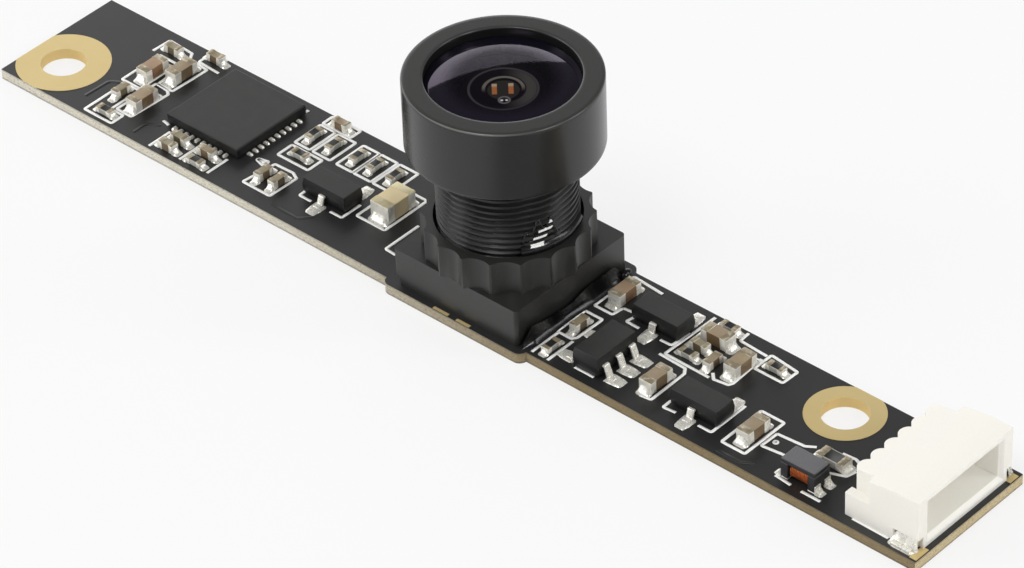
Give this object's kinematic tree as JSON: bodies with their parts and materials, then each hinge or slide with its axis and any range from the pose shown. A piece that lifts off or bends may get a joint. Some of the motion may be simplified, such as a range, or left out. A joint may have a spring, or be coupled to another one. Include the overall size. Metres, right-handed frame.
{
  "type": "camera module",
  "caption": "Narrow board-mounted fixed-focus camera module with a wide-angle threaded lens, a square holder and a white side-entry cable socket.",
  "frame": {"origin": "centre of the board's back face, half-way along its length and width", "axes": "+X along the board towards the cable socket, +Z along the lens axis the way the camera looks"},
  "size_m": [0.06, 0.0098, 0.0127],
  "materials": {
    "board": "black lacquer over glass laminate, satin",
    "gold_plating": "satin gold plate",
    "holder_plastic": "satin black moulding",
    "barrel_plastic": "turned satin black",
    "coated_glass": "violet anti-reflection coat",
    "filter_glass": "clear, red by reflection",
    "adhesive": "wet gloss black",
    "package_epoxy": "fine matt black epoxy",
    "tin": "bright tin solder",
    "capacitor_ceramic": "fired brown ceramic with tinned ends",
    "resistor_body": "black glaze with tinned ends",
    "bulk_ceramic": "fired tan ceramic with tinned ends",
    "ferrite": "grey ferrite",
    "copper_wire": "enamelled copper",
    "socket_plastic": "natural white nylon"
  },
  "bodies": {
    "root": {"baffle_ring": "barrel_plastic", "capacitor_bulk": "bulk_ceramic", "capacitor_controller_1": "capacitor_ceramic", "capacitor_controller_2": "capacitor_ceramic", "capacitor_controller_3": "capacitor_ceramic", "capacitor_left_1": "capacitor_ceramic", "capacitor_left_2": "capacitor_ceramic", "capacitor_left_3": "capacitor_ceramic", "capacitor_left_4": "capacitor_ceramic", "capacitor_left_5": "capacitor_ceramic", "capacitor_left_6": "capacitor_ceramic", "capacitor_middle_1": "capacitor_ceramic", "capacitor_pair": "capacitor_ceramic", "capacitor_right_1": "capacitor_ceramic", "capacitor_right_2": "capacitor_ceramic", "capacitor_right_3": "capacitor_ceramic", "capacitor_right_4": "capacitor_ceramic", "capacitor_right_5": "capacitor_ceramic", "capacitor_right_6": "capacitor_ceramic", "capacitor_right_7": "capacitor_ceramic", "capacitor_right_8": "capacitor_ceramic", "choke_bobbin": "ferrite", "choke_plate": "ferrite", "choke_terminals": "tin", "choke_winding": "copper_wire", "circuit_board": "board", "controller_chip": "package_epoxy", "controller_pads": "tin", "front_lens": "coated_glass", "image_sensor": "package_epoxy", "infrared_filter": "filter_glass", "lens_barrel": "barrel_plastic", "lens_holder": "holder_plastic", "rear_lens": "coated_glass", "regulator": "package_epoxy", "regulator_leads": "tin", "resistor_controller_1": "resistor_body", "resistor_left_1": "resistor_body", "resistor_middle_1": "resistor_body", "resistor_middle_2": "resistor_body", "resistor_middle_3": "resistor_body", "resistor_right_1": "resistor_body", "resistor_right_2": "resistor_body", "resistor_right_3": "resistor_body", "resistor_right_4": "resistor_body", "resistor_row": "resistor_body", "resistor_socket": "resistor_body", "ring_pad_left": "gold_plating", "ring_pad_right": "gold_plating", "second_lens": "coated_glass", "socket_contacts": "tin", "socket_housing": "socket_plastic", "socket_tabs": "tin", "stop_ring": "barrel_plastic", "thread_adhesive": "adhesive", "transistor_leads": "tin", "transistor_left": "package_epoxy", "transistor_middle": "package_epoxy", "transistor_right": "package_epoxy"}
  },
  "joints": []
}
